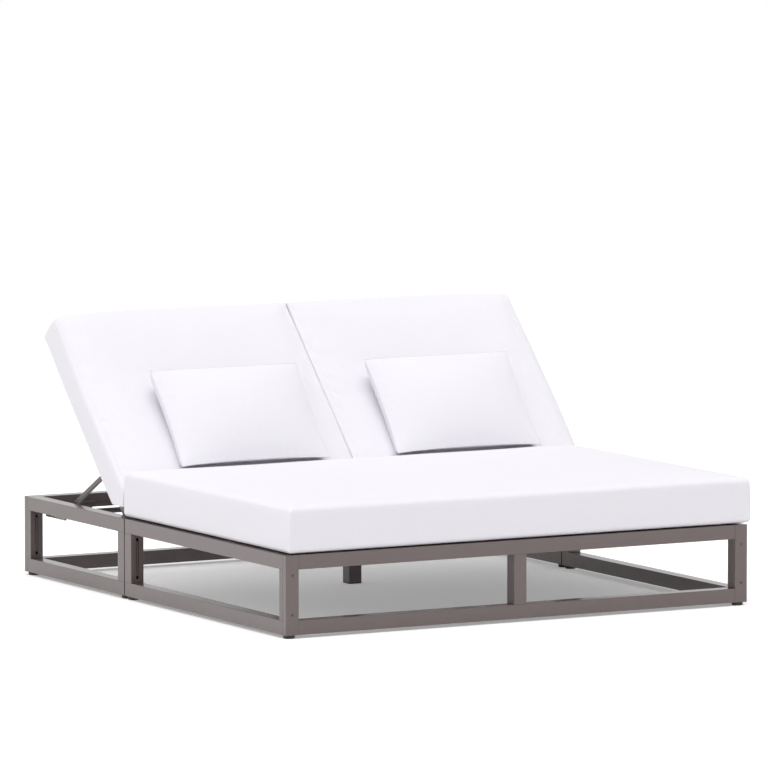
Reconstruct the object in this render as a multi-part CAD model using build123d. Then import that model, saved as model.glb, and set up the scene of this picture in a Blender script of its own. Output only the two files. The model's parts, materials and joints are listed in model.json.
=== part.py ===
from build123d import *
from math import asin, cos, degrees, radians, sin, sqrt
import os

# Double chaise lounger, in millimetres.
# +X is to the right seen from the foot end, +Y runs from the foot end to the head end, +Z is up.
# The origin is on the floor, under the middle of the whole piece. The back cushions hang over the right
# side of the frame, so the frame is drawn about its own middle and everything is moved when it is written.

# Driving sizes of the frame
frame_width = 1850
seat_module_length = 1214
head_module_length = 796
frame_height = 276
tube = 50
half_tube = tube / 2
tube_wall = 2
tube_edge_radius = 1.5
overrun = 5
module_gap = 5

# Glide pads and the centre leg
pad_height = 12
pad_diameter = 40
pad_edge = 2
leg_plug_height = 3
leg_plate_thickness = 4
leg_plate_width = 110
leg_plate_length = 84
leg_screw_spacing_x = 84
leg_screw_spacing_y = 50

# Bolts that hold the end frames and the two modules together
bolt_inset = 70
bolt_head_diameter = 10
bolt_head_height = 6
bolt_diameter = 6
bolt_length = 14
access_hole_diameter = 11
bolt_clearance = 0.2
screw_length = 8
screw_head_height = 3

# Seat deck
seat_slat_count = 12
seat_slat_width = 60
seat_slat_thickness = 20
slat_wall = 1.5
seat_slat_end_gap = 30
spine_width = 50
spine_depth = 30

# Reclining backs: the angle is measured up from flat
back_angle = 45.7
hinge_setback = 42
hinge_drop = 12.5
back_tube = 25
back_tube_wall = 1.8
back_end_clearance = 9
back_side_clearance = 6
back_slat_count = 6
back_slat_width = 60
back_slat_thickness = 12
back_lower_tube_start = 22

# Hinges
hinge_pin_diameter = 10
pin_clearance = 0.05
hinge_pin_head_diameter = 16
hinge_pin_head_height = 4
lug_thickness = 5
lug_radius = 15
lug_clearance = 0.5

# Prop frames under the backs
prop_pivot_reach = 226.6
prop_pivot_drop = 25
prop_length = 373.5
prop_angle = 28.6
prop_arm_depth = 15
prop_arm_thickness = 12
prop_bar_diameter = 20
prop_weld_reach = 5
prop_bar_end_clearance = 0.5
prop_lug_thickness = 3
prop_lug_radius = 11
prop_lug_clearance = 0.5
prop_bolt_diameter = 8
prop_bolt_head_diameter = 13
prop_bolt_head_height = 4

# Racks for the prop bars and rests for the flat backs
rack_thickness = 6
rack_depth = 13
rack_end_margin = 30
rack_tab_width = 14
rack_tab_overlap = 20
rack_notch_angles = (back_angle, 30, 15, 0)
rack_notch_depth = 4.4
rack_crest_clearance = 0.4
head_spine_width = 50
rest_thickness = 3
rest_width = 45
rest_reach = 24
rest_height = 30
rest_clearance = 0.3
rest_inset = 160

# Soft parts
soft_clearance = 0.4
mattress_side_shortfall = 10
mattress_side_overhang = 16
mattress_thickness = 165
mattress_crown = 7
mattress_rear_overhang = 22
back_cushion_side_shortfall = 10
back_cushion_side_overhang = 50
back_cushion_reach = 828
back_cushion_lead = 63
back_cushion_thickness = 140
back_cushion_crown = 8
back_cushion_gap = 3
back_cushion_underside = 315
cushion_corner_radius = 26
cushion_draw = 4
cushion_bottom_inset = 10
cushion_edge_rise = 13

# Lumbar pillows
pillow_width = 600
pillow_height = 407
pillow_thickness = 132
pillow_corner_radius = 16
pillow_draw = 12
pillow_seam_height = 3
pillow_lean = 5.8
pillow_shift_left = 60
pillow_shift_right = -24

# Places that follow from the sizes
half_width = frame_width / 2
foot_y = -(seat_module_length + head_module_length) / 2
seam_y = foot_y + seat_module_length
head_y = seam_y + head_module_length
base_z = pad_height
top_z = base_z + frame_height
inner_x = half_width - tube
rail_top_centre = top_z - tube / 2
rail_bottom_centre = base_z + tube / 2
bolt_levels = (base_z + bolt_inset, top_z - bolt_inset)
bolt_hole_diameter = bolt_diameter + 2 * bolt_clearance
sides = {"left": -1, "right": 1}

hinge_y = seam_y + tube + hinge_setback
hinge_z = top_z - hinge_drop
back_tilt = radians(back_angle)
back_frame_reach = head_y - tube - back_end_clearance - hinge_y

mattress_left = -half_width + mattress_side_shortfall
mattress_right = half_width + mattress_side_overhang
back_cushion_left = -half_width + back_cushion_side_shortfall
back_cushion_right = half_width + back_cushion_side_overhang
cushion_split_x = (back_cushion_left + back_cushion_right) / 2
leftmost_x = min(-half_width, mattress_left, back_cushion_left)
rightmost_x = max(half_width, mattress_right, back_cushion_right)
middle_x = (leftmost_x + rightmost_x) / 2

os.makedirs("parts", exist_ok=True)


# Shared shapes

def box(x0, x1, y0, y1, z0, z1):
    size = (x1 - x0, y1 - y0, z1 - z0)
    return Pos((x0 + x1) / 2, (y0 + y1) / 2, (z0 + z1) / 2) * Box(*size)


def rod(centre, direction, diameter, length):
    plane = Plane(origin=centre, z_dir=direction)
    return plane * Cylinder(diameter / 2, length)


def hollow_tube(plane, length, width, depth, wall=tube_wall, cap=0):
    # open at both ends, or closed at the far end by a cap
    outer = extrude(RectangleRounded(width, depth, tube_edge_radius), length / 2, both=True)
    bore = Box(width - 2 * wall, depth - 2 * wall, length + 2 * overrun)
    if cap:
        bore = Pos(0, 0, -overrun - cap) * bore
    return plane * (outer - bore)


def rail_x(y, z, x0, x1, size_y=tube, size_z=tube, wall=tube_wall):
    plane = Plane(origin=((x0 + x1) / 2, y, z), x_dir=(0, 1, 0), z_dir=(1, 0, 0))
    return hollow_tube(plane, x1 - x0, size_y, size_z, wall)


def rail_y(x, z, y0, y1, size_x=tube, size_z=tube, wall=tube_wall):
    plane = Plane(origin=(x, (y0 + y1) / 2, z), x_dir=(1, 0, 0), z_dir=(0, 1, 0))
    return hollow_tube(plane, y1 - y0, size_x, size_z, wall)


def post(x, y, z0, z1, size_y=tube, cap=0):
    return hollow_tube(Plane(origin=(x, y, (z0 + z1) / 2)), z1 - z0, tube, size_y, cap=cap)


def on_back(x, along, above, tilt=back_tilt):
    # a point of a back: along it from the hinge, and above the plane through the hinge
    y = hinge_y + along * cos(tilt) - above * sin(tilt)
    z = hinge_z + along * sin(tilt) + above * cos(tilt)
    return (x, y, z)


def back_placed(shape):
    # a shape drawn on a flat back, with the hinge at the origin, goes to the reclined place
    return Pos(0, hinge_y, hinge_z) * Rot(degrees(back_tilt), 0, 0) * shape


def write(name, shape):
    # a list of shapes becomes one group of separate solids
    place = Pos(-middle_x, 0, 0)
    if isinstance(shape, list):
        placed = Compound(children=[place * piece for piece in shape])
    else:
        placed = place * shape
    export_step(placed, f"parts/{name}.step")


# Outline with sides that are drawn in between its round corners

def drawn_outline(x0, x1, y0, y1, z, radius, draw):
    centre_x = (x0 + x1) / 2
    centre_y = (y0 + y1) / 2
    knuckle = radius * (1 - sqrt(0.5))
    ends = [(x0 + radius, y0), (x1 - radius, y0), (x1, y0 + radius), (x1, y1 - radius),
            (x1 - radius, y1), (x0 + radius, y1), (x0, y1 - radius), (x0, y0 + radius)]
    middles = [(centre_x, y0 + draw), (x1 - knuckle, y0 + knuckle), (x1 - draw, centre_y),
               (x1 - knuckle, y1 - knuckle), (centre_x, y1 - draw), (x0 + knuckle, y1 - knuckle),
               (x0 + draw, centre_y), (x0 + knuckle, y0 + knuckle)]
    arcs = []
    for index, middle in enumerate(middles):
        start = ends[index]
        end = ends[(index + 1) % len(ends)]
        arcs.append(ThreePointArc((*start, z), (*middle, z), (*end, z)))
    return Face(Wire(arcs))


def stacked(levels, radius, draw):
    # levels: height, then the low and high edge along X and along Y
    faces = [drawn_outline(x0, x1, y0, y1, z, radius, draw) for z, x0, x1, y0, y1 in levels]
    return loft(faces, ruled=True)


# Foot end frame and head end frame

def end_frame(name, outer_y, inward):
    # outer_y is the outer face, inward the direction to the middle of the lounger
    rail_centre = outer_y + inward * tube / 2
    post_y = outer_y + inward * half_tube / 2
    write(f"{name}_top_rail", rail_x(rail_centre, rail_top_centre, -inner_x, inner_x))
    write(f"{name}_bottom_rail", rail_x(rail_centre, rail_bottom_centre, -inner_x, inner_x))
    write(f"{name}_centre_post", post(0, rail_centre, base_z + tube, top_z - tube))
    posts = []
    for sign in sides.values():
        x = sign * (half_width - tube / 2)
        body = post(x, post_y, base_z, top_z, half_tube, tube_wall)
        for level in bolt_levels:
            body -= bolt_holes(x, outer_y, inward, level, name == "foot")
        posts.append(body)
    write(f"{name}_corner_posts", posts)


def bolt_holes(x, outer_y, inward, level, with_access):
    # a bolt hole through the joint, and an access hole in the outer wall
    inner_wall = outer_y + inward * half_tube
    holes = rod((x, inner_wall, level), (0, 1, 0), bolt_hole_diameter, half_tube)
    if with_access:
        holes += rod((x, outer_y, level), (0, 1, 0), access_hole_diameter, half_tube)
    return holes


end_frame("foot", foot_y, 1)
end_frame("head", head_y, -1)

# Side frames of the two modules
seat_front_y = foot_y + half_tube
head_rear_y = head_y - half_tube


def side_frame(module, side, y0, y1, front_depth, rear_depth):
    sign = sides[side]
    x = sign * (half_width - tube / 2)
    write(f"{module}_side_top_rail_{side}", rail_y(x, rail_top_centre, y0, y1))
    write(f"{module}_side_bottom_rail_{side}", rail_y(x, rail_bottom_centre, y0, y1))
    front = post(x, y0 + front_depth / 2, base_z + tube, top_z - tube, front_depth)
    rear = post(x, y1 - rear_depth / 2, base_z + tube, top_z - tube, rear_depth)
    for level in bolt_levels:
        front -= rod((x, y0, level), (0, 1, 0), bolt_hole_diameter, half_tube)
        rear -= rod((x, y1, level), (0, 1, 0), bolt_hole_diameter, half_tube)
        rear -= rod((x, y1 - rear_depth, level), (0, 1, 0), access_hole_diameter, half_tube)
    write(f"{module}_side_front_post_{side}", front)
    write(f"{module}_side_rear_post_{side}", rear)


# The side frames of the two modules stop a little short of each other
seat_side_end_y = seam_y - module_gap
for side_name in sides:
    side_frame("seat", side_name, seat_front_y, seat_side_end_y, half_tube, tube)
    side_frame("head", side_name, seam_y, head_rear_y, tube, half_tube)

# Bolts: the head bears on the inside of one wall, and the shank goes on through the joint

def frame_bolt(x, joint_y, level):
    # joint_y is the outer face of the wall that the head bears on
    seat = joint_y - tube_wall - bolt_clearance / 2
    head = rod((x, seat - bolt_head_height / 2, level), (0, 1, 0), bolt_head_diameter, bolt_head_height)
    return head + rod((x, seat + bolt_length / 2, level), (0, 1, 0), bolt_diameter, bolt_length)


bolts = []
for sign in sides.values():
    for level in bolt_levels:
        for joint_y in (seat_front_y, seat_side_end_y, head_rear_y):
            bolts.append(frame_bolt(sign * (half_width - tube / 2), joint_y, level))

# Cross rails at the seam, the seat's centre bearer and its slats
seat_rail_y = seam_y - tube / 2
hinge_rail_y = seam_y + tube / 2
slat_underside = top_z - seat_slat_thickness
leg_screw_xs = (-leg_screw_spacing_x / 2, leg_screw_spacing_x / 2)
leg_top = top_z - tube


def cross_rail(y, screw_y):
    rail = rail_x(y, rail_top_centre, -inner_x, inner_x)
    for x in leg_screw_xs:
        rail -= rod((x, screw_y, leg_top), (0, 0, 1), bolt_hole_diameter, 2 * overrun)
    return rail


write("seat_cross_rail", cross_rail(seat_rail_y, seam_y - leg_screw_spacing_y / 2))
write("hinge_rail", cross_rail(hinge_rail_y, seam_y + leg_screw_spacing_y / 2))

deck_start = foot_y + tube
deck_end = seam_y - tube
spine_z = slat_underside - spine_depth / 2
write("seat_spine", rail_y(0, spine_z, deck_start, deck_end, spine_width, spine_depth))

slat_zone = deck_end - deck_start - 2 * seat_slat_end_gap - seat_slat_width
slat_pitch = slat_zone / (seat_slat_count - 1)
slat_z = top_z - seat_slat_thickness / 2
seat_slats = []
for index in range(seat_slat_count):
    slat_y = deck_start + seat_slat_end_gap + seat_slat_width / 2 + index * slat_pitch
    seat_slats.append(rail_x(slat_y, slat_z, -inner_x, inner_x,
                             seat_slat_width, seat_slat_thickness, slat_wall))
write("seat_slats", seat_slats)

# Centre leg with its plate under both cross rails
plate_z = leg_top - leg_plate_thickness
leg = post(0, seam_y, leg_plug_height, plate_z)
leg += box(-leg_plate_width / 2, leg_plate_width / 2, seam_y - leg_plate_length / 2,
           seam_y + leg_plate_length / 2, plate_z, leg_top)


def leg_screw(x, y):
    head = rod((x, y, plate_z - screw_head_height / 2), (0, 0, 1), bolt_head_diameter, screw_head_height)
    shank = rod((x, y, plate_z + screw_length / 2), (0, 0, 1), bolt_diameter, screw_length)
    return head + shank


for x in leg_screw_xs:
    for y in (seam_y - leg_screw_spacing_y / 2, seam_y + leg_screw_spacing_y / 2):
        leg -= rod((x, y, leg_top), (0, 0, 1), bolt_hole_diameter, 2 * overrun)
        bolts.append(leg_screw(x, y))
write("centre_leg", leg)
write("frame_bolts", bolts)

# Glide pads under the corners and the seam, and the plug of the centre leg

def glide_pad(x, y):
    pad = Pos(x, y, pad_height / 2) * Cylinder(pad_diameter / 2, pad_height)
    return chamfer(pad.edges().group_by(Axis.Z)[0], pad_edge)


pads = []
for sign in sides.values():
    pad_x = sign * (half_width - tube / 2)
    for pad_y in (foot_y + tube / 2, seat_rail_y, hinge_rail_y, head_y - tube / 2):
        pads.append(glide_pad(pad_x, pad_y))
pads.append(box(-tube / 2, tube / 2, seam_y - tube / 2, seam_y + tube / 2, 0, leg_plug_height))
write("glide_pads", pads)

# Centre bearer of the head module
head_deck_end = head_y - tube
write("head_spine", rail_y(0, rail_top_centre, seam_y + tube, head_deck_end, head_spine_width))

# Hinge lugs on the hinge rail: each stands beside the inner face of a side tube
lug_face_y = seam_y + tube
outer_tube_centre = inner_x - back_side_clearance - back_tube / 2
inner_tube_centre = head_spine_width / 2 + back_side_clearance + back_tube / 2
lug_offset = back_tube / 2 + lug_clearance + lug_thickness / 2


def hinge_lug(x):
    plate = box(x - lug_thickness / 2, x + lug_thickness / 2, lug_face_y, hinge_y,
                hinge_z - lug_radius, hinge_z + lug_radius)
    plate += rod((x, hinge_y, hinge_z), (1, 0, 0), 2 * lug_radius, lug_thickness)
    return plate - rod((x, hinge_y, hinge_z), (1, 0, 0), hinge_pin_diameter + 2 * pin_clearance, tube)


lugs = []
for sign in sides.values():
    lugs.append(hinge_lug(sign * (outer_tube_centre - lug_offset)))
    lugs.append(hinge_lug(sign * (inner_tube_centre + lug_offset)))
write("hinge_lugs", lugs)

# Path of the prop foot: where it stands for a given angle of the back
rest_foot_z = on_back(0, prop_pivot_reach, -prop_pivot_drop)[2] - prop_length * sin(radians(prop_angle))


def prop_foot_y(angle):
    _, pivot_y, pivot_z = on_back(0, prop_pivot_reach, -prop_pivot_drop, radians(angle))
    slope = asin((pivot_z - rest_foot_z) / prop_length)
    return pivot_y + prop_length * cos(slope)


flat_pivot_z = on_back(0, prop_pivot_reach, -prop_pivot_drop, 0)[2]
flat_slope = degrees(asin((flat_pivot_z - rest_foot_z) / prop_length))
prop_turn = back_angle + prop_angle - flat_slope
print(f"hinge axis y {hinge_y:.3f} z {hinge_z:.3f}")
print(f"prop turn {prop_turn:.4f} degrees over {back_angle} degrees: ratio {prop_turn / back_angle:.5f}")
pivot_point = on_back(0, prop_pivot_reach, -prop_pivot_drop)
print(f"prop pivot y {pivot_point[1]:.3f} z {pivot_point[2]:.3f}, foot z {rest_foot_z:.3f}")

# Racks: notched plates, with a tab at each end on the side rail or on the centre bearer
crest_z = rest_foot_z - prop_bar_diameter / 2 - rack_crest_clearance
notch_radius = prop_bar_diameter / 2 + rack_crest_clearance
rack_start = prop_foot_y(rack_notch_angles[0]) - rack_end_margin
rack_end = prop_foot_y(rack_notch_angles[-1]) + rack_end_margin
tab_top = top_z - tube + rack_tab_overlap


def rack(x):
    x0 = x - rack_thickness / 2
    x1 = x + rack_thickness / 2
    foot = crest_z - rack_depth
    plate = box(x0, x1, rack_start, rack_end, foot, crest_z)
    plate += box(x0, x1, rack_start, rack_start + rack_tab_width, foot, tab_top)
    plate += box(x0, x1, rack_end - rack_tab_width, rack_end, foot, tab_top)
    for angle in rack_notch_angles:
        notch_centre = (x, prop_foot_y(angle), crest_z + notch_radius - rack_notch_depth)
        plate -= rod(notch_centre, (1, 0, 0), 2 * notch_radius, 2 * rack_thickness)
    return plate


spine_face = head_spine_width / 2
for side, sign in sides.items():
    outer_rack = rack(sign * (inner_x - rack_thickness / 2))
    inner_rack = rack(sign * (spine_face + rack_thickness / 2))
    write(f"{side}_prop_racks", [outer_rack, inner_rack])

# Rests: angles on the head top rail that carry the flat backs
rest_top = top_z - back_tube - rest_clearance
rests = []
for sign in sides.values():
    for x in (outer_tube_centre - rest_inset, inner_tube_centre + rest_inset):
        x0 = sign * x - rest_width / 2
        x1 = sign * x + rest_width / 2
        tab = box(x0, x1, head_deck_end - rest_reach, head_deck_end, rest_top - rest_thickness, rest_top)
        flange = box(x0, x1, head_deck_end - rest_thickness, head_deck_end, rest_top - rest_height, rest_top)
        rests.append(tab + flange)
write("back_rests", rests)

# The two backs with their prop frames

def back_tube_y(x, start, end):
    return rail_y(x, 0, start, end, back_tube, back_tube, back_tube_wall)


def prop_lugs(x):
    # two plates under a side tube, with the arm between them
    plates = []
    offset = prop_arm_thickness / 2 + prop_lug_clearance + prop_lug_thickness / 2
    for side_offset in (-offset, offset):
        x0 = x + side_offset - prop_lug_thickness / 2
        x1 = x0 + prop_lug_thickness
        plate = box(x0, x1, prop_pivot_reach - prop_lug_radius, prop_pivot_reach + prop_lug_radius,
                    -prop_pivot_drop, -back_tube / 2)
        plate += rod((x0 + prop_lug_thickness / 2, prop_pivot_reach, -prop_pivot_drop), (1, 0, 0),
                     2 * prop_lug_radius, prop_lug_thickness)
        plates.append(plate)
    return plates[0] + plates[1]


def back(side):
    sign = sides[side]
    tube_xs = {"outer": sign * outer_tube_centre, "inner": sign * inner_tube_centre}
    front = -back_tube / 2
    bolt_hole = prop_bolt_diameter + 2 * pin_clearance
    pin_hole = hinge_pin_diameter + 2 * pin_clearance
    for place, x in tube_xs.items():
        bar = back_tube_y(x, front, back_frame_reach) + prop_lugs(x)
        bar -= rod((x, 0, 0), (1, 0, 0), pin_hole, 2 * back_tube)
        bar -= rod((x, prop_pivot_reach, -prop_pivot_drop), (1, 0, 0), bolt_hole, 2 * back_tube)
        write(f"{side}_back_{place}_tube", back_placed(bar))

    # cross tubes and slats between the side tubes
    x0 = min(tube_xs.values()) + back_tube / 2
    x1 = max(tube_xs.values()) - back_tube / 2
    lower_y = back_lower_tube_start + back_tube / 2
    upper_y = back_frame_reach - back_tube / 2
    lower = rail_x(lower_y, 0, x0, x1, back_tube, back_tube, back_tube_wall)
    upper = rail_x(upper_y, 0, x0, x1, back_tube, back_tube, back_tube_wall)
    write(f"{side}_back_lower_tube", back_placed(lower))
    write(f"{side}_back_upper_tube", back_placed(upper))
    bay = upper_y - lower_y - back_tube
    pitch = (bay - back_slat_width) / (back_slat_count + 1)
    slats = []
    for index in range(back_slat_count):
        slat_y = lower_y + back_tube / 2 + pitch * (index + 1) + back_slat_width / 2
        slat_z = back_tube / 2 - back_slat_thickness / 2
        slat = rail_x(slat_y, slat_z, x0, x1, back_slat_width, back_slat_thickness, slat_wall)
        slats.append(back_placed(slat))
    write(f"{side}_back_slats", slats)

    # hinge pins through the side tubes and the lugs
    pins = []
    for x, inward in ((tube_xs["outer"], -sign), (tube_xs["inner"], sign)):
        outer_face = x - inward * back_tube / 2
        length = back_tube + lug_clearance + lug_thickness + lug_clearance
        pin = rod((outer_face + inward * length / 2, 0, 0), (1, 0, 0), hinge_pin_diameter, length)
        head_x = outer_face + inward * (length + hinge_pin_head_height / 2)
        pin += rod((head_x, 0, 0), (1, 0, 0), hinge_pin_head_diameter, hinge_pin_head_height)
        pins.append(back_placed(pin))
    write(f"{side}_hinge_pins", pins)

    # bolts that hold the prop arms in their lugs
    bolts = []
    half_grip = prop_arm_thickness / 2 + prop_lug_clearance + prop_lug_thickness
    for x in tube_xs.values():
        centre = (x, prop_pivot_reach, -prop_pivot_drop)
        bolt = rod(centre, (1, 0, 0), prop_bolt_diameter, 2 * half_grip)
        for end in (-1, 1):
            head_x = x + end * (half_grip + prop_bolt_head_height / 2)
            bolt += rod((head_x, *centre[1:]), (1, 0, 0), prop_bolt_head_diameter, prop_bolt_head_height)
        bolts.append(back_placed(bolt))
    write(f"{side}_prop_bolts", bolts)
    prop(side, list(tube_xs.values()))


def prop(side, arm_xs):
    # drawn along +Y from the pivot, then turned down by the prop angle
    sign = sides[side]
    place = Pos(0, pivot_point[1], pivot_point[2]) * Rot(-prop_angle, 0, 0)
    bar_x0, bar_x1 = sorted((sign * (spine_face + prop_bar_end_clearance),
                             sign * (inner_x - prop_bar_end_clearance)))
    bar_centre = ((bar_x0 + bar_x1) / 2, prop_length, 0)
    bar = rod(bar_centre, (1, 0, 0), prop_bar_diameter, bar_x1 - bar_x0)
    arms = []
    for x in arm_xs:
        arm = box(x - prop_arm_thickness / 2, x + prop_arm_thickness / 2, 0, prop_length - prop_weld_reach,
                  -prop_arm_depth / 2, prop_arm_depth / 2)
        arm += rod((x, 0, 0), (1, 0, 0), prop_arm_depth, prop_arm_thickness)
        arm -= rod((x, 0, 0), (1, 0, 0), prop_bolt_diameter + 2 * pin_clearance, tube)
        arms.append(place * (arm - bar))
    write(f"{side}_prop_arms", arms)
    write(f"{side}_prop_bar", place * bar)


for side_name in sides:
    back(side_name)

# Box cushions: rounded edges, sides drawn in between the corners, and a crown on top
cushion_edge_shares = ((0, 1), (0.25, 0.42), (1, 0.08))
cushion_crown_shares = ((0.12, 0.62), (0.26, 0.9), (0.4, 1))


def box_cushion(x0, x1, y0, y1, z0, thickness, crown):
    edge = [(rise * cushion_edge_rise, inset * cushion_bottom_inset) for rise, inset in cushion_edge_shares]
    reach = min(x1 - x0, y1 - y0) / 2
    steps = edge + [(thickness / 2, 0)]
    steps += [(thickness - rise, inset) for rise, inset in reversed(edge)]
    steps += [(thickness + lift * crown, cushion_bottom_inset + share * reach)
              for share, lift in cushion_crown_shares]
    levels = [(z0 + height, x0 + inset, x1 - inset, y0 + inset, y1 - inset) for height, inset in steps]
    return stacked(levels, cushion_corner_radius, cushion_draw)


# Seat mattress, short of the left side of the frame and a little over its right side
mattress_z = top_z + soft_clearance
mattress_rear = seam_y + mattress_rear_overhang
write("seat_mattress", box_cushion(mattress_left, mattress_right, foot_y, mattress_rear,
                                   mattress_z, mattress_thickness, mattress_crown))

# Back cushions: the lower end is cut upright beside the mattress and level below
cushion_base = hinge_drop + soft_clearance
cushion_front = mattress_rear + back_cushion_gap
cushion_spans = {"left": (back_cushion_left, cushion_split_x - back_cushion_gap / 2),
                 "right": (cushion_split_x + back_cushion_gap / 2, back_cushion_right)}


def back_cushion(side):
    x0, x1 = cushion_spans[side]
    block = back_placed(box_cushion(x0, x1, -back_cushion_lead, back_cushion_reach, cushion_base,
                                    back_cushion_thickness, back_cushion_crown))
    y0 = cushion_front - back_cushion_reach
    y1 = cushion_front + back_cushion_reach
    underside = base_z + back_cushion_underside
    block -= box(x0 - overrun, x1 + overrun, y0, cushion_front, base_z, 2 * back_cushion_reach)
    block -= box(x0 - overrun, x1 + overrun, y0, y1, underside - back_cushion_reach, underside)
    write(f"{side}_back_cushion", block)


for side_name in sides:
    back_cushion(side_name)

# Lumbar pillows: a sewn edge all round, and a crown to both sides
pillow_shifts = {"left": pillow_shift_left, "right": pillow_shift_right}
pillow_profile_shares = ((0, 0), (0.31, 0.05), (0.52, 0.12), (0.71, 0.24),
                         (0.86, 0.4), (0.95, 0.58), (1, 0.8))
cushion_face = cushion_base + back_cushion_thickness + back_cushion_crown + soft_clearance
mattress_face = mattress_z + mattress_thickness + mattress_crown + soft_clearance


def pillow(side):
    reach = pillow_height / 2
    rise = (pillow_thickness - pillow_seam_height) / 2
    steps = [(pillow_seam_height / 2 + height * rise, inset * reach)
             for height, inset in pillow_profile_shares]
    steps = [(-height, inset) for height, inset in reversed(steps)] + steps
    levels = [(height, inset - pillow_width / 2, pillow_width / 2 - inset, inset - reach, reach - inset)
              for height, inset in steps]
    shape = stacked(levels, pillow_corner_radius, pillow_draw)

    # it leans a little off the back, and its lower edge lies on the mattress
    lean = radians(pillow_lean)
    above = cushion_face + max(height * cos(lean) + (reach - inset) * sin(lean) for height, inset in steps)
    total = back_tilt + lean
    drop = max((reach - inset) * sin(total) + height * cos(total) for height, inset in steps)
    along = (mattress_face + drop - hinge_z - above * cos(back_tilt)) / sin(back_tilt)
    x = sum(cushion_spans[side]) / 2 + pillow_shifts[side]
    write(f"{side}_lumbar_pillow", Pos(*on_back(x, along, above)) * Rot(degrees(total), 0, 0) * shape)


for side_name in sides:
    pillow(side_name)
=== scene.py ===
import json
import math

import bpy
import numpy as np
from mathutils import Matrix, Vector, noise


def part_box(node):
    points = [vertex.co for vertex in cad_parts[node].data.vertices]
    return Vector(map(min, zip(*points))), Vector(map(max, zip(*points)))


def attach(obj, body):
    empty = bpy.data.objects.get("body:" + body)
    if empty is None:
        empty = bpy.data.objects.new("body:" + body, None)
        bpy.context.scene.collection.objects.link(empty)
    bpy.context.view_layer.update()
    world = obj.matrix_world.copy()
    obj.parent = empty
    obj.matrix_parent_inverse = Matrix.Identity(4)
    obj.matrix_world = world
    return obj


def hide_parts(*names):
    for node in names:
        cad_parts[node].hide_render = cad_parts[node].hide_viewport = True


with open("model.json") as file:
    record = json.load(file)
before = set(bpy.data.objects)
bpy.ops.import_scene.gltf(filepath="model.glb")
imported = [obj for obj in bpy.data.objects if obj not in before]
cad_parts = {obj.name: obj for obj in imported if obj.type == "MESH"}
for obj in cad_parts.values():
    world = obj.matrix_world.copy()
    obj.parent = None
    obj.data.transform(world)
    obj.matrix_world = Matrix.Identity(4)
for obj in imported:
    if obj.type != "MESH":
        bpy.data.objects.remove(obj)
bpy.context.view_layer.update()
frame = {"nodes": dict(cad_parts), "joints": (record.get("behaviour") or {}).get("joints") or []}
scene = bpy.context.scene
nodes = frame["nodes"]
mm = 0.001

# the middle of the frame across: the camera is placed from it, and it parts left from right
railLow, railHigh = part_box("foot_top_rail")
frameMiddleX = (railLow.x + railHigh.x) / 2
joints = {joint["name"]: joint for joint in frame["joints"]}
backTilt = math.radians(joints["left_back_recline"]["range_deg"][1])


def hexColour(text):
    # sRGB hex to linear, opaque
    parts = [int(text[i:i + 2], 16) / 255 for i in (1, 3, 5)]
    return [c / 12.92 if c <= 0.04045 else ((c + 0.055) / 1.055) ** 2.4 for c in parts] + [1.0]


def addNode(tree, kind, values=None, links=None, **settings):
    node = tree.nodes.new(kind)
    for key, value in settings.items():
        setattr(node, key, value)
    for key, value in (values or {}).items():
        node.inputs[key].default_value = value
    for key, source in (links or {}).items():
        tree.links.new(source, node.inputs[key])
    return node


def newMaterial(name):
    material = bpy.data.materials.new(name)
    material.use_nodes = True
    material.node_tree.nodes.clear()
    return material, material.node_tree


# Materials

# Powder-coated aluminium, sprayed and baked: a dull satin skin with a faint orange peel
coat = {
    "colour": "#645756",
    "shade": "#5C4F4E",
    "peelSize": 3.0,        # mm, the real peel is about 1 mm and would not show
    "peelHeight": 0.12,     # mm
    "peelStrength": 0.5,
    "mottleSize": 90.0,     # mm
    "roughness": 0.36,
    "ior": 1.5,
    "glaze": 0.5,           # share of the smooth upper skin, which mirrors the sky at a flat angle
    "glazeRoughness": 0.14,
}

# The props: a copy of the frame's coat, darker and flatter; the darker colour is painted shade, for the
# props sit under the backs
shadedStrutCoat = dict(coat, colour="#4F4744", shade="#463E3C", glaze=0.2)


def paintedMetal(name, spec):
    material, tree = newMaterial(name)
    where = addNode(tree, "ShaderNodeTexCoord").outputs["Object"]
    mottle = addNode(tree, "ShaderNodeTexNoise", {"Scale": 1000 / spec["mottleSize"], "Detail": 3},
                     {"Vector": where})
    tint = addNode(tree, "ShaderNodeMix", {6: hexColour(spec["shade"]), 7: hexColour(spec["colour"])},
                   {"Factor": mottle.outputs["Fac"]}, data_type="RGBA")
    peel = addNode(tree, "ShaderNodeTexNoise", {"Scale": 1000 / spec["peelSize"], "Detail": 2},
                   {"Vector": where})
    bump = addNode(tree, "ShaderNodeBump",
                   {"Strength": spec["peelStrength"], "Distance": spec["peelHeight"] * mm},
                   {"Height": peel.outputs["Fac"]})
    skin = addNode(tree, "ShaderNodeBsdfPrincipled",
                   {"Roughness": spec["roughness"], "IOR": spec["ior"], "Coat Weight": spec["glaze"],
                    "Coat Roughness": spec["glazeRoughness"]},
                   {"Base Color": tint.outputs[2], "Normal": bump.outputs["Normal"]})
    addNode(tree, "ShaderNodeOutputMaterial", None, {"Surface": skin.outputs[0]})
    return material


# Stainless steel, turned: bright grey with fine rings of the tool
steel = {
    "colour": "#B9B6B2",
    "ringPitch": 0.8,       # mm, coarser than real turning marks
    "smoothest": 0.28,
    "roughest": 0.44,
}


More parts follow.
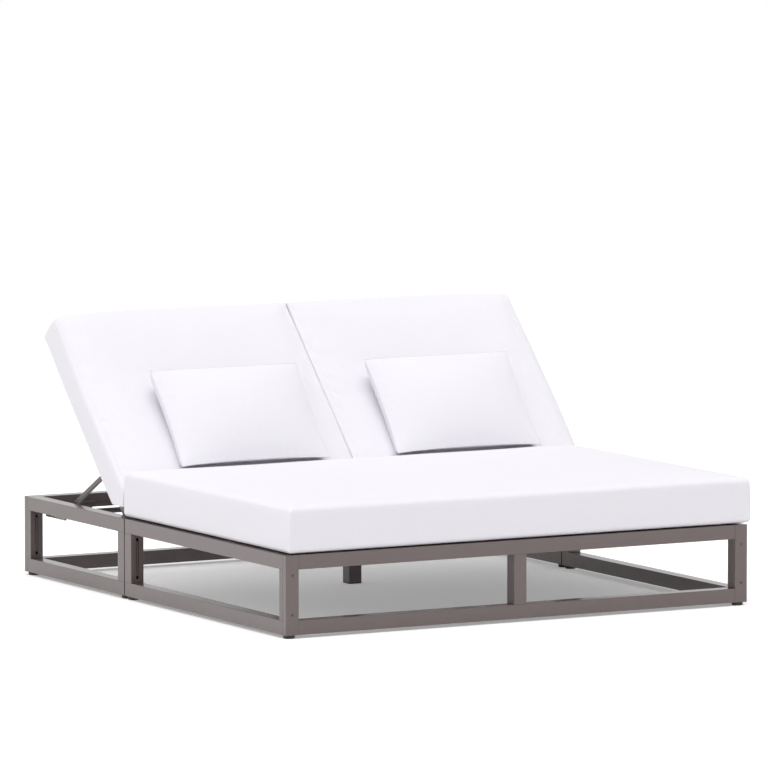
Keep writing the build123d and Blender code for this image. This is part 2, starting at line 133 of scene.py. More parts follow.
def turnedSteel():
    material, tree = newMaterial("turned_stainless_steel")
    where = addNode(tree, "ShaderNodeTexCoord").outputs["Object"]
    rings = addNode(tree, "ShaderNodeTexNoise", {"Scale": 1000 / steel["ringPitch"], "Detail": 1},
                    {"Vector": where})
    rough = addNode(tree, "ShaderNodeMapRange", {"To Min": steel["smoothest"], "To Max": steel["roughest"]},
                    {"Value": rings.outputs["Fac"]})
    skin = addNode(tree, "ShaderNodeBsdfPrincipled",
                   {"Base Color": hexColour(steel["colour"]), "Metallic": 1.0},
                   {"Roughness": rough.outputs["Result"]})
    addNode(tree, "ShaderNodeOutputMaterial", None, {"Surface": skin.outputs[0]})
    return material


# Polyamide glides, injection moulded: dark, matte, faint grain of the mould
glide = {
    "colour": "#2A2827",
    "worn": "#3A3836",
    "grainSize": 1.2,       # mm
    "grainHeight": 0.1,     # mm
    "grainStrength": 0.4,
    "roughness": 0.6,
}


def mouldedPolyamide():
    material, tree = newMaterial("moulded_polyamide")
    where = addNode(tree, "ShaderNodeTexCoord").outputs["Object"]
    grain = addNode(tree, "ShaderNodeTexNoise", {"Scale": 1000 / glide["grainSize"], "Detail": 3},
                    {"Vector": where})
    tint = addNode(tree, "ShaderNodeMix", {6: hexColour(glide["colour"]), 7: hexColour(glide["worn"])},
                   {"Factor": grain.outputs["Fac"]}, data_type="RGBA")
    bump = addNode(tree, "ShaderNodeBump",
                   {"Strength": glide["grainStrength"], "Distance": glide["grainHeight"] * mm},
                   {"Height": grain.outputs["Fac"]})
    skin = addNode(tree, "ShaderNodeBsdfPrincipled", {"Roughness": glide["roughness"]},
                   {"Base Color": tint.outputs[2], "Normal": bump.outputs["Normal"]})
    addNode(tree, "ShaderNodeOutputMaterial", None, {"Surface": skin.outputs[0]})
    return material


# Solution-dyed acrylic, plain woven: a soft matte white with a fine canvas grid
canvas = {
    "colour": "#EBE9EE",
    "slub": "#E7E5EB",
    "threadPitch": 1.6,     # mm, the real yarn is 0.7 mm and would not show
    "threadHeight": 0.14,   # mm
    "threadStrength": 0.5,
    "slubSize": 14.0,       # mm
    "handSize": 70.0,       # mm, the soft waves that hands leave in the cover
    "handHeight": 0.8,      # mm
    "handStrength": 0.6,
    "roughness": 0.86,
    "specular": 0.2,
    "sheen": 0.12,
    "sheenRoughness": 0.5,
}


def wovenAcrylic():
    material, tree = newMaterial("woven_acrylic")
    panel = addNode(tree, "ShaderNodeTexCoord").outputs["UV"]
    where = addNode(tree, "ShaderNodeTexCoord").outputs["Object"]
    # a wave node's band is one twentieth of a unit at scale 1, times two pi
    bandScale = 2 * math.pi / 20 / (canvas["threadPitch"] * mm)
    bands = []
    for direction in ("X", "Y"):
        bands.append(addNode(tree, "ShaderNodeTexWave", {"Scale": bandScale}, {"Vector": panel},
                             wave_type="BANDS", bands_direction=direction))
    checker = addNode(tree, "ShaderNodeTexChecker", {"Scale": 1000 / canvas["threadPitch"]},
                      {"Vector": panel})
    weave = addNode(tree, "ShaderNodeMix", None,
                    {"Factor": checker.outputs["Fac"],
                     "A": bands[0].outputs["Fac"], "B": bands[1].outputs["Fac"]})
    slub = addNode(tree, "ShaderNodeTexNoise", {"Scale": 1000 / canvas["slubSize"], "Detail": 4},
                   {"Vector": panel})
    tint = addNode(tree, "ShaderNodeMix", {6: hexColour(canvas["colour"]), 7: hexColour(canvas["slub"])},
                   {"Factor": slub.outputs["Fac"]}, data_type="RGBA")
    hand = addNode(tree, "ShaderNodeTexNoise", {"Scale": 1000 / canvas["handSize"], "Detail": 2},
                   {"Vector": where})
    soft = addNode(tree, "ShaderNodeBump",
                   {"Strength": canvas["handStrength"], "Distance": canvas["handHeight"] * mm},
                   {"Height": hand.outputs["Fac"]})
    bump = addNode(tree, "ShaderNodeBump",
                   {"Strength": canvas["threadStrength"], "Distance": canvas["threadHeight"] * mm},
                   {"Height": weave.outputs[0], "Normal": soft.outputs["Normal"]})
    skin = addNode(tree, "ShaderNodeBsdfPrincipled",
                   {"Roughness": canvas["roughness"], "Specular IOR Level": canvas["specular"],
                    "Sheen Weight": canvas["sheen"], "Sheen Roughness": canvas["sheenRoughness"]},
                   {"Base Color": tint.outputs[2], "Normal": bump.outputs["Normal"]})
    addNode(tree, "ShaderNodeOutputMaterial", None, {"Surface": skin.outputs[0]})
    return material


coatMaterial = paintedMetal("powder_coated_aluminium", coat)
shadedStrutMaterial = paintedMetal("prop_coat_painted_shade", shadedStrutCoat)
steelMaterial = turnedSteel()
glideMaterial = mouldedPolyamide()
canvasMaterial = wovenAcrylic()
print("materials made")


# The rigid frame: CAD shapes with a small rounded edge and their finish

rigid = {
    "edgeRound": 1.2,       # mm
    "edgeSteps": 2,
    "sharpAngle": 35.0,     # degrees
    "weldGap": 0.02,        # mm
    "steelNodes": ("frame_bolts", "left_hinge_pins", "right_hinge_pins",
                   "left_prop_bolts", "right_prop_bolts"),
    "plasticNodes": ("glide_pads",),
    "strutNodes": ("left_prop_arms", "right_prop_arms", "left_prop_bar", "right_prop_bar"),
    "softNodes": ("seat_mattress", "left_back_cushion", "right_back_cushion",
                  "left_lumbar_pillow", "right_lumbar_pillow"),
}


def finishRigid(node, material):
    node.data.materials.clear()
    node.data.materials.append(material)
    weld = node.modifiers.new("weld", "WELD")
    weld.merge_threshold = rigid["weldGap"] * mm
    bevel = node.modifiers.new("edge", "BEVEL")
    bevel.width = rigid["edgeRound"] * mm
    bevel.segments = rigid["edgeSteps"]
    bevel.limit_method = "ANGLE"
    bevel.angle_limit = math.radians(rigid["sharpAngle"])
    bevel.use_clamp_overlap = True
    bevel.harden_normals = True


for name, node in nodes.items():
    if name in rigid["softNodes"]:
        continue
    if name in rigid["steelNodes"]:
        finishRigid(node, steelMaterial)
    elif name in rigid["plasticNodes"]:
        finishRigid(node, glideMaterial)
    # the props get the darker copy of the coat, which holds painted shade
    elif name in rigid["strutNodes"]:
        finishRigid(node, shadedStrutMaterial)
    else:
        finishRigid(node, coatMaterial)
print("rigid nodes finished")


# Ring plugs, pressed into the access holes of the foot end and painted with it
plug = {
    "outer": 5.4 * mm,
    "inner": 1.7 * mm,
    "depth": 0.7 * mm,      # behind the face of the post
    "edge": 0.5 * mm,
    "dish": 0.4 * mm,       # the face of a plug sinks a little towards its middle
    "lip": 5 * mm,
    "sides": 20,
    "boltReach": 0.1,       # m, the foot end's bolts lie this close to its face
}


def makePlugs():
    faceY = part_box("foot_corner_posts")[0].y
    bolts = np.array([v.co for v in nodes["frame_bolts"].data.vertices])
    bolts = bolts[bolts[:, 1] < faceY + plug["boltReach"]]
    points, faces = [], []
    sides = plug["sides"]
    # radius and depth of each ring, from the outer wall over the face into the hole
    rings = ((plug["outer"], plug["lip"]), (plug["outer"], plug["depth"] + plug["edge"]),
             (plug["outer"] - plug["edge"], plug["depth"]),
             (plug["inner"], plug["depth"] + plug["dish"]), (plug["inner"], plug["lip"]))
    onRight = bolts[:, 0] > frameMiddleX
    onTop = bolts[:, 2] > bolts[:, 2].mean()
    for right in (False, True):
        for upper in (False, True):
            own = bolts[(onRight == right) & (onTop == upper)]
            middle = (own.min(0) + own.max(0)) / 2
            first = len(points)
            for radius, depth in rings:
                for k in range(sides):
                    turn = 2 * math.pi * k / sides
                    points.append((middle[0] + radius * math.cos(turn), faceY + depth,
                                   middle[2] + radius * math.sin(turn)))
            for ring in range(len(rings) - 1):
                for k in range(sides):
                    a, b = first + ring * sides + k, first + ring * sides + (k + 1) % sides
                    faces.append((a, b, b + sides, a + sides))
    mesh = bpy.data.meshes.new("foot_hole_plugs")
    mesh.from_pydata(points, [], faces)
    piece = bpy.data.objects.new("foot_hole_plugs", mesh)
    scene.collection.objects.link(piece)
    mesh.materials.append(coatMaterial)
    for polygon in mesh.polygons:
        polygon.use_smooth = True
    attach(piece, "frame")
    print("hole plugs made")


makePlugs()


# Soft pieces: grids of cloth blown up a little, then laid where the CAD says

sewn = {
    # m, where the grid lines lie beside a seam: across the wide panels and up the side walls
    "panelEdge": (0.0, 0.004, 0.009, 0.015, 0.023, 0.034),
    "wallEdge": (0.0, 0.006, 0.014, 0.025),
    "rimShare": 0.9999,     # a point past this share lies on the outermost grid line
    "wallShare": 0.75,      # the part of a side wall that shows how far the wall has moved
    "wallDegree": 6,        # of the curve through that part
    "pillowDegree": 4,      # of the curve through one edge of a pillow
}


def stepsTo(half, cell, edge):
    # places from -half to half, closer together at both ends
    inner = half - edge[-1]
    count = max(2, round(2 * inner / cell))
    middle = [-inner + 2 * inner * i / count for i in range(count + 1)]
    return [-half + e for e in edge[:-1]] + middle + [half - e for e in reversed(edge[:-1])]


def boxSurface(name, size, cells):
    # the six panels of a box cushion as one closed grid, with each panel's own flat coordinates
    halves = [s / 2 for s in size]
    edges = (sewn["panelEdge"], sewn["panelEdge"], sewn["wallEdge"])
    steps = [stepsTo(half, cell, edge) for half, cell, edge in zip(halves, cells, edges)]
    counts = [len(s) - 1 for s in steps]
    index, points, faces, flats = {}, [], [], []

    def corner(key):
        if key not in index:
            index[key] = len(points)
            points.append([steps[axis][key[axis]] for axis in range(3)])
        return index[key]

    for axis in range(3):
        u, v = [(1, 2), (2, 0), (0, 1)][axis]
        for end in (0, counts[axis]):
            for a in range(counts[u]):
                for b in range(counts[v]):
                    keys = []
                    for da, db in ((0, 0), (1, 0), (1, 1), (0, 1)):
                        key = [0, 0, 0]
                        key[axis], key[u], key[v] = end, a + da, b + db
                        keys.append(tuple(key))
                    if end == 0:
                        keys.reverse()
                    faces.append([corner(k) for k in keys])
                    flats.append([(steps[u][k[u]], steps[v][k[v]]) for k in keys])
    mesh = bpy.data.meshes.new(name)
    mesh.from_pydata(points, [], faces)
    layer = mesh.uv_layers.new(name="panels")
    layer.data.foreach_set("uv", np.array(flats, np.float32).ravel())
    piece = bpy.data.objects.new(name, mesh)
    scene.collection.objects.link(piece)
    return piece, np.array(points) / np.array(halves)


def readPoints(piece):
    points = np.empty(len(piece.data.vertices) * 3, np.float32)
    piece.data.vertices.foreach_get("co", points)
    return points.reshape(-1, 3).astype(float)


def writePoints(piece, points):
    piece.data.vertices.foreach_set("co", points.astype(np.float32).ravel())
    piece.data.update()


def ramp(values, start, length):
    # 0 up to the start, then rising evenly to 1
    return np.clip((values - start) / length, 0, 1)


def roundEdges(points, halves, radii):
    # a rounded box: each point is pushed onto the ball that rolls inside the edges
    radius = radii[:, None]
    inner = np.clip(points, -(halves - radius), halves - radius)
    away = points - inner
    length = np.linalg.norm(away, axis=1, keepdims=True)
    return inner + np.where(length > 1e-9, away / np.maximum(length, 1e-9), 0) * radius


air = {
    "quality": 5,
    "mass": 0.3,            # kg for each square metre
    "shearEase": 3,         # the cloth shears this many times more easily than it stretches
}


def puff(piece, spec):
    # cloth with air inside and no gravity; no point moves further than the cap
    start = readPoints(piece)
    cloth = piece.modifiers.new("puff", "CLOTH")
    settings = cloth.settings
    settings.quality = air["quality"]
    settings.mass = air["mass"]
    settings.tension_stiffness = spec["stiffness"]
    settings.compression_stiffness = spec["stiffness"]
    settings.shear_stiffness = spec["stiffness"] / air["shearEase"]
    settings.bending_stiffness = spec["bending"]
    settings.use_pressure = True
    settings.uniform_pressure_force = spec["pressure"]
    settings.effector_weights.gravity = 0
    cloth.point_cache.frame_start = 1
    cloth.point_cache.frame_end = spec["frames"]
    for step in range(1, spec["frames"] + 1):
        scene.frame_set(step)
    graph = bpy.context.evaluated_depsgraph_get()
    blown = piece.evaluated_get(graph)
    points = np.empty(len(start) * 3, np.float32)
    blown.data.vertices.foreach_get("co", points)
    moved = points.reshape(-1, 3).astype(float) - start
    length = np.linalg.norm(moved, axis=1, keepdims=True)
    moved *= np.minimum(1, spec["cap"] / np.maximum(length, 1e-9))
    piece.modifiers.remove(cloth)
    scene.frame_set(1)
    writePoints(piece, start + moved)
    print(piece.name, "blown up, furthest point", round(float(length.max()) / mm, 1), "mm before the cap")


def softFloor(values, floor, softness):
    # values below the floor come to rest on it, with a soft start; far above it nothing changes
    t = (values - floor) / softness
    return floor + softness * np.where(t > 30, t, np.log1p(np.exp(np.minimum(t, 30))))


def ripple(points, spec, seed):
    # the soft unevenness of a filled cover
    shift = Vector((seed, 0, 0))
    waves = [noise.noise(Vector(p) / spec["rippleSize"] + shift) for p in points]
    return np.array(waves) * spec["rippleHeight"]


def refine(piece):
    # one level of smoothing made real, so that fine folds have points to live on
    smooth = piece.modifiers.new("smooth", "SUBSURF")
    smooth.levels = 1
    finer = bpy.data.meshes.new_from_object(piece.evaluated_get(bpy.context.evaluated_depsgraph_get()))
    piece.modifiers.remove(smooth)
    piece.data = finer
    return readPoints(piece)


def creases(points, size, spec, seed):
    # thin folds across the face beside both long sides, slanted a little
    reach, pitch = spec["creaseReach"], spec["creaseSize"]
    fromSide = size[0] / 2 - np.abs(points[:, 0])
    weight = np.exp(-(np.clip(fromSide, 0, None) / reach) ** 2) * ramp(fromSide, 0, spec["creaseStart"])
    weight *= points[:, 2] > size[2] * spec["creaseLevelShare"]
    slanted = points[:, 0] + spec["creaseSlant"] * points[:, 1]
    folds = [noise.noise(Vector((a / pitch[0], b / pitch[1], seed))) for a, b in zip(slanted, points[:, 1])]
    return np.array(folds) * weight * spec["creaseHeight"]


def finishSoft(piece, body, replaced):
    piece.data.materials.clear()
    piece.data.materials.append(canvasMaterial)
    for polygon in piece.data.polygons:
        polygon.use_smooth = True
    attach(piece, body)
    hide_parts(replaced)


mattress = {
    "cells": (0.018, 0.018, 0.015),     # m
    "topRadius": 21 * mm,
    "lowRadius": 12 * mm,
    "crown": 7 * mm,
    "blend": (0.3, 0.55),   # where above mid-height the top's radius starts, and over what length
    # how far each side (axis, direction) is drawn in, where a negative one bulges
    "draw": {(0, -1): 1 * mm, (0, 1): -2 * mm, (1, -1): 2 * mm, (1, 1): 2 * mm},
    "rimLift": 7 * mm,      # the lower seam hangs a little above the deck
    "rimReach": 60 * mm,
    "rippleSize": 0.21,     # m
    "rippleHeight": 1.2 * mm,
    "seed": 3.0,
    "settle": 1 * mm,       # how softly the underside comes to rest on the deck
    "seamDepth": 0.8 * mm,
    "stiffness": 15.0,
    "bending": 0.5,
    "pressure": 4.0,
    "frames": 20,
    "cap": 12 * mm,
    "fill": 0.9,
}


def seamGroove(points, shares, depth):
    # the sewn edges lie a little deeper than the panels beside them
    outermost = np.abs(shares) > sewn["rimShare"]
    onRim = outermost[:, 2] & (outermost[:, 0] | outermost[:, 1])
    direction = np.sign(shares[onRim]) * outermost[onRim]
    direction /= np.linalg.norm(direction, axis=1, keepdims=True)
    points[onRim] -= direction * depth
    return points


def squareUp(points, shares, halves, draws):
    # the air pulls the long sides in too far: each side goes back to its cut line, small folds stay
    for axis, other in ((0, 1), (1, 0)):
        for sign in (-1, 1):
            draw = draws[(axis, sign)]
            wall = (shares[:, axis] * sign > sewn["rimShare"]) & (np.abs(shares[:, 2]) < sewn["wallShare"])
            along = points[wall, other] / halves[other]
            fit = np.polyfit(along, points[wall, axis], sewn["wallDegree"])
            place = np.clip(points[:, other] / halves[other], -1, 1)
            wanted = sign * (halves[axis] - draw * (1 - place ** 2))
            weight = np.clip(shares[:, axis] * sign, 0, 1) ** 2
            points[:, axis] += (wanted - np.polyval(fit, place)) * weight
    return points


def boxCushion(name, size, spec, splitSide=0):
    # splitSide: the side, -1 or 1, that is pressed against a second cushion
    piece, shares = boxSurface(name, size, spec["cells"])
    halves = np.array(size) / 2
    blend = ramp(shares[:, 2], *spec["blend"])
    radii = spec["lowRadius"] + (spec["topRadius"] - spec["lowRadius"]) * blend
    if splitSide:
        upper = ramp(shares[:, 1], *spec["endBlend"])
        radii = radii + (spec["endRadius"] - radii) * upper * blend
        near = ramp(shares[:, 0] * splitSide, *spec["splitBlend"]) ** 2
        radii = radii + (spec["splitRadius"] - radii) * near
    points = roundEdges(readPoints(piece), halves, radii)
    writePoints(piece, points)
    puff(piece, spec)
    points = readPoints(piece)
    points = squareUp(points, shares, halves, spec["draw"])
    points = seamGroove(points, shares, spec["seamDepth"])
    return piece, shares, points


def makeMattress():
    low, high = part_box("seat_mattress")
    size = (high.x - low.x, high.y - low.y, high.z - low.z - mattress["crown"])
    piece, shares, points = boxCushion("seat_mattress_cover", size, mattress)
    middle = np.array([(low.x + high.x) / 2, (low.y + high.y) / 2, low.z + size[2] / 2])
    points += middle
    points[:, 2] += ripple(points, mattress, mattress["seed"]) * (shares[:, 2] > 0)
    points[:, 2] = softFloor(points[:, 2], low.z, mattress["settle"])
    inward = np.minimum(*[(1 - np.abs(shares[:, axis])) * size[axis] / 2 for axis in (0, 1)])
    lift = mattress["rimLift"] * np.clip(1 - inward / mattress["rimReach"], 0, 1) ** 2
    points[:, 2] += lift * np.clip(-shares[:, 2], 0, 1)
    writePoints(piece, points)
    refine(piece)
    finishSoft(piece, "frame", "seat_mattress")


backCushion = {
    "cells": (0.015, 0.015, 0.014),     # m
    "topRadius": 42 * mm,
    "lowRadius": 15 * mm,
    "splitRadius": 6 * mm,
    "endRadius": 22 * mm,
    "blend": (0.3, 0.55),   # as on the mattress, in shares of the half size
    "endBlend": (0.3, 0.6),     # the same towards the upper end
    "splitBlend": (0.4, 0.5),   # and towards the other cushion
    "crown": 8 * mm,
    "fall": {"left": 12 * mm, "right": 8 * mm},     # how far the face falls away towards the outer side
    "fallReach": 125 * mm,
    "fallPower": 1.6,
    "outerDraw": {"left": -3 * mm, "right": -13 * mm},
    "splitDraw": -1.3 * mm,
    "endDraw": -12 * mm,    # the upper end bulges
    "lowerDraw": 1.5 * mm,
    "creaseHeight": 4.0 * mm,
    "creaseSize": (19 * mm, 60 * mm),
    "creaseReach": 90 * mm,
    "creaseStart": 12 * mm,
    "creaseSlant": 0.35,
    "creaseLevelShare": 0.4,
    "rippleSize": 0.19,     # m
    "rippleHeight": 1.2 * mm,
    "seed": {"left": 7.0, "right": 11.0},
    # m, how far below its hinge the pad starts: the CAD solid is cut off at the mattress and the deck
    "lead": 0.063,
    "underSettle": 1 * mm,
    "endSettle": 1.5 * mm,
    "seamDepth": 0.6 * mm,
    "stiffness": 15.0,
    "bending": 0.5,
    "pressure": 4.0,
    "frames": 20,
    "cap": 14 * mm,
    "fill": 0.85,
}


def tiltedAxes(angle):
    # across, up the slope, and out of its face
    return np.array([[1, 0, 0],
                     [0, math.cos(angle), math.sin(angle)],
                     [0, -math.sin(angle), math.cos(angle)]])


def spanAlong(node, axes):
    # lowest and highest place of a CAD node's points along each of the given axes
    points = np.array([v.co for v in nodes[node].data.vertices]) @ axes.T
    return points.min(0), points.max(0)


def makeBackCushion(side):
    node = side + "_back_cushion"
    axes = tiltedAxes(backTilt)
    low, high = spanAlong(node, axes)
    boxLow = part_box(node)[0]
    hinge = np.array(joints[side + "_back_recline"]["pos_m"])
    start = (hinge @ axes.T)[1] - backCushion["lead"]
    size = (high[0] - low[0], high[1] - start, high[2] - low[2] - backCushion["crown"])
    outer = -1 if side == "left" else 1
    spec = dict(backCushion)
    spec["draw"] = {(0, outer): spec["outerDraw"][side], (0, -outer): spec["splitDraw"],
                    (1, -1): spec["lowerDraw"], (1, 1): spec["endDraw"]}
    piece, shares, points = boxCushion(side + "_back_cushion_cover", size, spec, -outer)
    middle = np.array([(low[0] + high[0]) / 2, (start + high[1]) / 2, low[2] + size[2] / 2])
    seed = spec["seed"][side]
    face = np.clip(shares[:, 2], 0, 1)
    fromOuter = (1 - shares[:, 0] * outer) * size[0] / 2
    slope = np.clip(1 - fromOuter / spec["fallReach"], 0, 1) ** spec["fallPower"]
    points[:, 2] -= spec["fall"][side] * slope * face
    points += middle
    points[:, 2] += ripple(points, spec, seed) * (shares[:, 2] > 0)
    points[:, 2] = softFloor(points[:, 2], low[2], spec["underSettle"])
    writePoints(piece, points)
    points = refine(piece)
    points[:, 2] += creases(points - middle, size, spec, seed)
    points = points @ axes
    points[:, 1] = softFloor(points[:, 1], boxLow.y, spec["endSettle"])
    points[:, 2] = softFloor(points[:, 2], boxLow.z, spec["endSettle"])
    writePoints(piece, points)
    finishSoft(piece, side + "_back", node)


pillow = {
    "cell": 0.008,          # m
    "width": 600 * mm,
    "height": 407 * mm,
    "thickness": 132 * mm,
    "draw": 9 * mm,
    "lowerDraw": 3 * mm,    # the lower edge lies almost straight
    "power": 2.1,           # how square the dome is
    "frontFullness": 1.0,
    "backFullness": 0.14,
    "frontShare": 0.78,     # the front is flatter than the back
    "sideBend": 16 * mm,    # how far the side seams fall back to the cushion
    "stiffness": 20.0,
    "bending": 0.2,
    "pressure": 3.5,
    "frames": 16,
    "cap": 4 * mm,
    "lean": 5.8,            # degrees, off the back's slope
    "shift": {"left": -9 * mm, "right": 8 * mm},
    "lift": 6 * mm,
    "sink": 2 * mm,         # how far the lower edge presses into the mattress
    "clearance": 0.5 * mm,  # from the cushion behind it
    "settle": 1.5 * mm,
    "seed": {"left": 2.0, "right": 5.0},
    "gatherHeight": 2.2 * mm,
    "gatherPitch": 17 * mm,
    "gatherReach": 26 * mm,
    "gatherStart": 8 * mm,
    "gatherLeastShare": 0.25,   # of a fold's height, on the seam itself
    "pipeRadius": 1.5 * mm,
    "pipeSides": 6,
    "fill": 0.7,
}


def pillowSurface(name):
    # two panels sewn together along one edge loop
    columns = round(pillow["width"] / pillow["cell"])
    rows = round(pillow["height"] / pillow["cell"])
    points, faces, flats, shares, index = [], [], [], [], {}
    for layer in (1, -1):
        for i in range(columns + 1):
            for j in range(rows + 1):
                onEdge = i in (0, columns) or j in (0, rows)
                key = (i, j, 0 if onEdge else layer)
                if key in index:
                    continue
                index[key] = len(points)
                u, v = i / columns * 2 - 1, j / rows * 2 - 1
                fullness = pillow["frontFullness" if layer > 0 else "backFullness"]
                share = (1 - abs(u) ** pillow["power"]) * (1 - abs(v) ** pillow["power"])
                dome = 0 if onEdge else share ** fullness
                draw = pillow["draw"] if v > 0 else pillow["lowerDraw"]
                points.append([u * (pillow["width"] / 2 - pillow["draw"] * (1 - v * v)),
                               v * (pillow["height"] / 2 - draw * (1 - u * u)),
                               layer * pillow["thickness"] / 2 * dome])
                shares.append([u, v, 0 if onEdge else layer])

        def at(i, j):
            onEdge = i in (0, columns) or j in (0, rows)
            return index[(i, j, 0 if onEdge else layer)]

        for i in range(columns):
            for j in range(rows):
                quad = [(i, j), (i + 1, j), (i + 1, j + 1), (i, j + 1)]
                if layer < 0:
                    quad.reverse()
                faces.append([at(*q) for q in quad])
                flats.append([(q[0] * pillow["cell"], q[1] * pillow["cell"]) for q in quad])
    mesh = bpy.data.meshes.new(name)
    mesh.from_pydata(points, [], faces)
    uvs = mesh.uv_layers.new(name="panels")
    uvs.data.foreach_set("uv", np.array(flats, np.float32).ravel())
    piece = bpy.data.objects.new(name, mesh)
    scene.collection.objects.link(piece)
    rim = [index[(i, 0, 0)] for i in range(columns)]
    rim += [index[(columns, j, 0)] for j in range(rows)]
    rim += [index[(i, rows, 0)] for i in range(columns, 0, -1)]
    rim += [index[(0, j, 0)] for j in range(rows, 0, -1)]
    # the seam stays a sharp line when the cloth is smoothed
    onRim = set(rim)
    crease = mesh.attributes.new("crease_edge", "FLOAT", "EDGE")
    for edge in mesh.edges:
        crease.data[edge.index].value = 1.0 if set(edge.vertices) <= onRim else 0.0
    return piece, rim, np.array(shares)


def straighten(points, shares, rim):
    # the air pulls the edges in between the corners: each edge goes back to its cut line
    halves = (pillow["width"] / 2, pillow["height"] / 2)
    rimPoints, rimShares = points[rim], shares[rim]
    for axis, other in ((0, 1), (1, 0)):
        for sign in (-1, 1):
            edge = rimShares[:, axis] * sign > sewn["rimShare"]
            fit = np.polyfit(rimShares[edge, other], rimPoints[edge, axis], sewn["pillowDegree"])
            draw = pillow["lowerDraw"] if axis == 1 and sign < 0 else pillow["draw"]
            wanted = sign * (halves[axis] - draw * (1 - shares[:, other] ** 2))
            weight = np.clip(shares[:, axis] * sign, 0, 1) ** 3
            points[:, axis] += (wanted - np.polyval(fit, shares[:, other])) * weight
    return points


def gather(shares, seed):
    # the sewn edge pulls the cloth into short folds that run inward from the seam
    across = (1 - np.abs(shares[:, 0])) * pillow["width"] / 2
    up = (1 - np.abs(shares[:, 1])) * pillow["height"] / 2
    along = np.where(across < up, shares[:, 1] * pillow["height"] / 2, shares[:, 0] * pillow["width"] / 2)
    away = np.minimum(across, up)
    # the noise is read far apart for the two panels, so each folds on its own
    panels = shares[:, 2] * 3
    folds = [noise.noise(Vector((a / pillow["gatherPitch"], b, seed))) for a, b in zip(along, panels)]
    start = np.clip(away / pillow["gatherStart"], pillow["gatherLeastShare"], 1)
    weight = np.exp(-away / pillow["gatherReach"]) * start
    return np.array(folds) * weight * pillow["gatherHeight"]


def pipeAround(name, ring):
    # a closed cord through the given points, sewn into the seam
    count, sides, radius = len(ring), pillow["pipeSides"], pillow["pipeRadius"]
    ahead = np.roll(ring, -1, axis=0) - np.roll(ring, 1, axis=0)
    ahead /= np.linalg.norm(ahead, axis=1, keepdims=True)
    outward = ring - ring.mean(0)
    outward -= (outward * ahead).sum(1, keepdims=True) * ahead
    outward /= np.linalg.norm(outward, axis=1, keepdims=True)
    sideways = np.cross(ahead, outward)
    points, faces, flats = [], [], []
    for k in range(sides):
        turn = k * 2 * math.pi / sides
        points.extend(ring + radius * (math.cos(turn) * outward + math.sin(turn) * sideways))
        for i in range(count):
            j, m = (i + 1) % count, (k + 1) % sides
            faces.append([k * count + i, k * count + j, m * count + j, m * count + i])
            corners = ((i, k), (i + 1, k), (i + 1, k + 1), (i, k + 1))
            flats.append([(a * pillow["cell"], b * radius) for a, b in corners])
    mesh = bpy.data.meshes.new(name)
    mesh.from_pydata([tuple(p) for p in points], [], faces)
    mesh.uv_layers.new(name="panels").data.foreach_set("uv", np.array(flats, np.float32).ravel())
    cord = bpy.data.objects.new(name, mesh)
    scene.collection.objects.link(cord)
    return cord


def makePillow(side):
    node = side + "_lumbar_pillow"
    piece, rim, shares = pillowSurface(node + "_cover")
    puff(piece, pillow)
    points = readPoints(piece)
    # stretched to the cut size, so that the corners lie where the CAD has them
    for axis, wanted in enumerate((pillow["width"], pillow["height"], pillow["thickness"])):
        span = points[:, axis].max() - points[:, axis].min()
        points[:, axis] *= wanted / span
    points[:, 2] *= np.where(points[:, 2] > 0, pillow["frontShare"], 1)
    points = straighten(points, shares, rim)
    points[:, 2] += gather(shares, pillow["seed"][side])
    points[:, 2] -= pillow["sideBend"] * np.abs(shares[:, 0]) ** 3
    total = backTilt + math.radians(pillow["lean"])
    low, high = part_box(node)
    middle = np.array([(low.x + high.x) / 2, (low.y + high.y) / 2, (low.z + high.z) / 2])
    middle += np.array([pillow["shift"][side], 0, pillow["lift"]])
    points = points @ tiltedAxes(total) + middle
    points[:, 2] = softFloor(points[:, 2], low.z - pillow["sink"], pillow["settle"])
    # the back of it lies against the cushion
    slope = tiltedAxes(backTilt)
    sloped = points @ slope.T
    face = spanAlong(side + "_back_cushion", slope)[1][2]
    sloped[:, 2] = softFloor(sloped[:, 2], face + pillow["clearance"], pillow["settle"])
    points = sloped @ slope
    writePoints(piece, points)
    refine(piece)
    cord = pipeAround(node + "_piping", points[rim])
    with bpy.context.temp_override(active_object=piece, selected_editable_objects=[piece, cord]):
        bpy.ops.object.join()
    finishSoft(piece, side + "_pillow", node)


makeMattress()
print("mattress made")
for side in ("left", "right"):
    makeBackCushion(side)
    makePillow(side)
print("back cushions and pillows made")


# Floor, light and camera

studio = {
    "floorSize": 60.0,      # m
    "floorColour": "#F2F2F2",
    "floorGlow": 0.28,      # added where the camera looks, straight or by way of a mirror
    "skyStrength": 0.43,
    # direction, how narrow, how strong: left, right and overhead soft boxes
    "skyLobes": (((-1, 0.05, 0.12), 2.0, 0.68),
                 ((1, -0.6, 0.25), 3.0, 0.2),
                 ((-0.05, -0.22, 1), 6.0, 1.93)),
    "keyStrength": 0.5,
    "keyAngle": 50.0,       # degrees, as wide as a large soft box
    "keyPlace": (-0.6, -1.4, 8.0),      # it shines from here towards the origin
}


def seenOrMirrored(tree):
    # 1 where the camera looks, straight or by way of a mirror
    path = addNode(tree, "ShaderNodeLightPath")
    return addNode(tree, "ShaderNodeMath", None,
                   {0: path.outputs["Is Camera Ray"], 1: path.outputs["Is Glossy Ray"]},
                   operation="MAXIMUM").outputs[0]


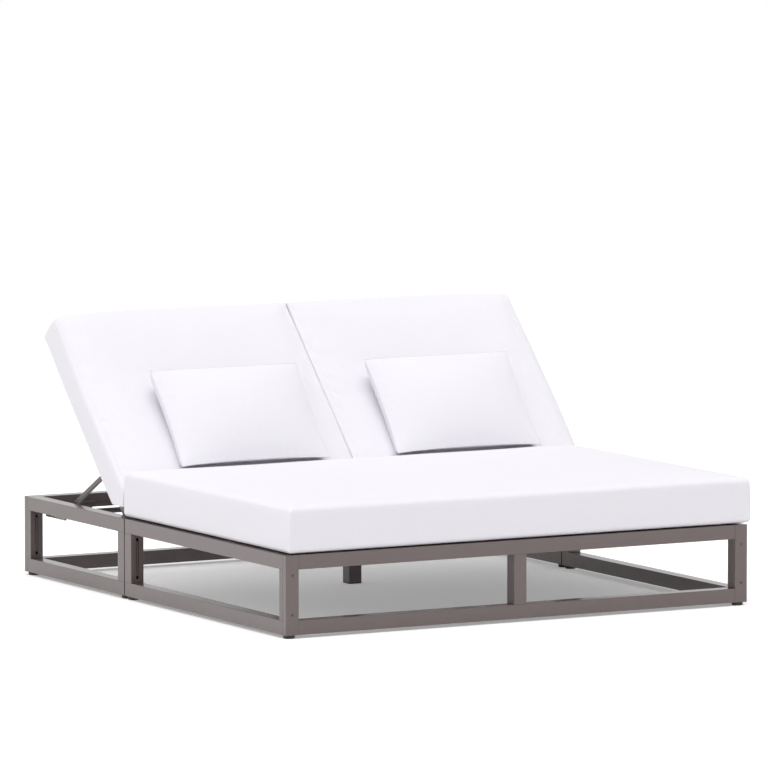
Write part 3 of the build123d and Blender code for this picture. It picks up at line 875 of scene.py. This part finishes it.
def makeFloor():
    half = studio["floorSize"] / 2
    mesh = bpy.data.meshes.new("studio_floor")
    corners = [(-half, -half, 0), (half, -half, 0), (half, half, 0), (-half, half, 0)]
    mesh.from_pydata(corners, [], [(0, 1, 2, 3)])
    floor = bpy.data.objects.new("studio_floor", mesh)
    scene.collection.objects.link(floor)
    material, tree = newMaterial("painted_studio_floor")
    paint = addNode(tree, "ShaderNodeBsdfDiffuse", {"Color": hexColour(studio["floorColour"])})
    seen = seenOrMirrored(tree)
    glow = addNode(tree, "ShaderNodeMath", {1: studio["floorGlow"]}, {0: seen}, operation="MULTIPLY")
    shine = addNode(tree, "ShaderNodeEmission", None, {"Strength": glow.outputs[0]})
    both = addNode(tree, "ShaderNodeAddShader", None, {0: paint.outputs[0], 1: shine.outputs[0]})
    addNode(tree, "ShaderNodeOutputMaterial", None, {"Surface": both.outputs[0]})
    mesh.materials.append(material)


def makeSky():
    # an even dome with soft boxes in it: each lobe is the share of a direction that looks its way
    world = bpy.data.worlds.new("studio")
    scene.world = world
    world.use_nodes = True
    tree = world.node_tree
    tree.nodes.clear()
    seen = seenOrMirrored(tree)
    way = addNode(tree, "ShaderNodeTexCoord").outputs["Generated"]
    total = addNode(tree, "ShaderNodeValue")
    total.outputs[0].default_value = studio["skyStrength"]
    total = total.outputs[0]
    for direction, power, strength in studio["skyLobes"]:
        share = addNode(tree, "ShaderNodeVectorMath", {1: Vector(direction).normalized()}, {0: way},
                        operation="DOT_PRODUCT")
        ahead = addNode(tree, "ShaderNodeMath", {1: 0.0}, {0: share.outputs["Value"]}, operation="MAXIMUM")
        narrow = addNode(tree, "ShaderNodeMath", {1: power}, {0: ahead.outputs[0]}, operation="POWER")
        total = addNode(tree, "ShaderNodeMath", {1: strength}, {0: narrow.outputs[0], 2: total},
                        operation="MULTIPLY_ADD").outputs[0]
    # the camera and mirrors see plain white
    strength = addNode(tree, "ShaderNodeMapRange", {"To Max": 1.0}, {"Value": seen, "To Min": total})
    sky = addNode(tree, "ShaderNodeBackground", {"Color": (1, 1, 1, 1)},
                  {"Strength": strength.outputs["Result"]})
    addNode(tree, "ShaderNodeOutputWorld", None, {"Surface": sky.outputs[0]})


def makeSun(name, place, strength, angle):
    data = bpy.data.lights.new(name, "SUN")
    data.energy = strength
    data.angle = math.radians(angle)
    lamp = bpy.data.objects.new(name, data)
    lamp.location = place
    lamp.rotation_euler = (-Vector(place)).to_track_quat("-Z", "Y").to_euler()
    scene.collection.objects.link(lamp)


makeFloor()
makeSky()
makeSun("key_lamp", studio["keyPlace"], studio["keyStrength"], studio["keyAngle"])

shot = {
    "place": (-13.229, -23.866, 3.556),
    "forward": (0.4827, 0.8698, -0.1026),
    "lens": 359.1,
    "sensor": 36.0,
    "farthest": 200.0,      # m
}


def makeCamera():
    data = bpy.data.cameras.new("camera")
    data.lens = shot["lens"]
    data.sensor_width = shot["sensor"]
    data.clip_end = shot["farthest"]
    camera = bpy.data.objects.new("camera", data)
    camera.location = Vector(shot["place"]) + Vector((frameMiddleX, 0, 0))
    camera.rotation_euler = Vector(shot["forward"]).to_track_quat("-Z", "Y").to_euler()
    scene.collection.objects.link(camera)
    scene.camera = camera


makeCamera()
scene.view_settings.view_transform = "Standard"
print("studio made")
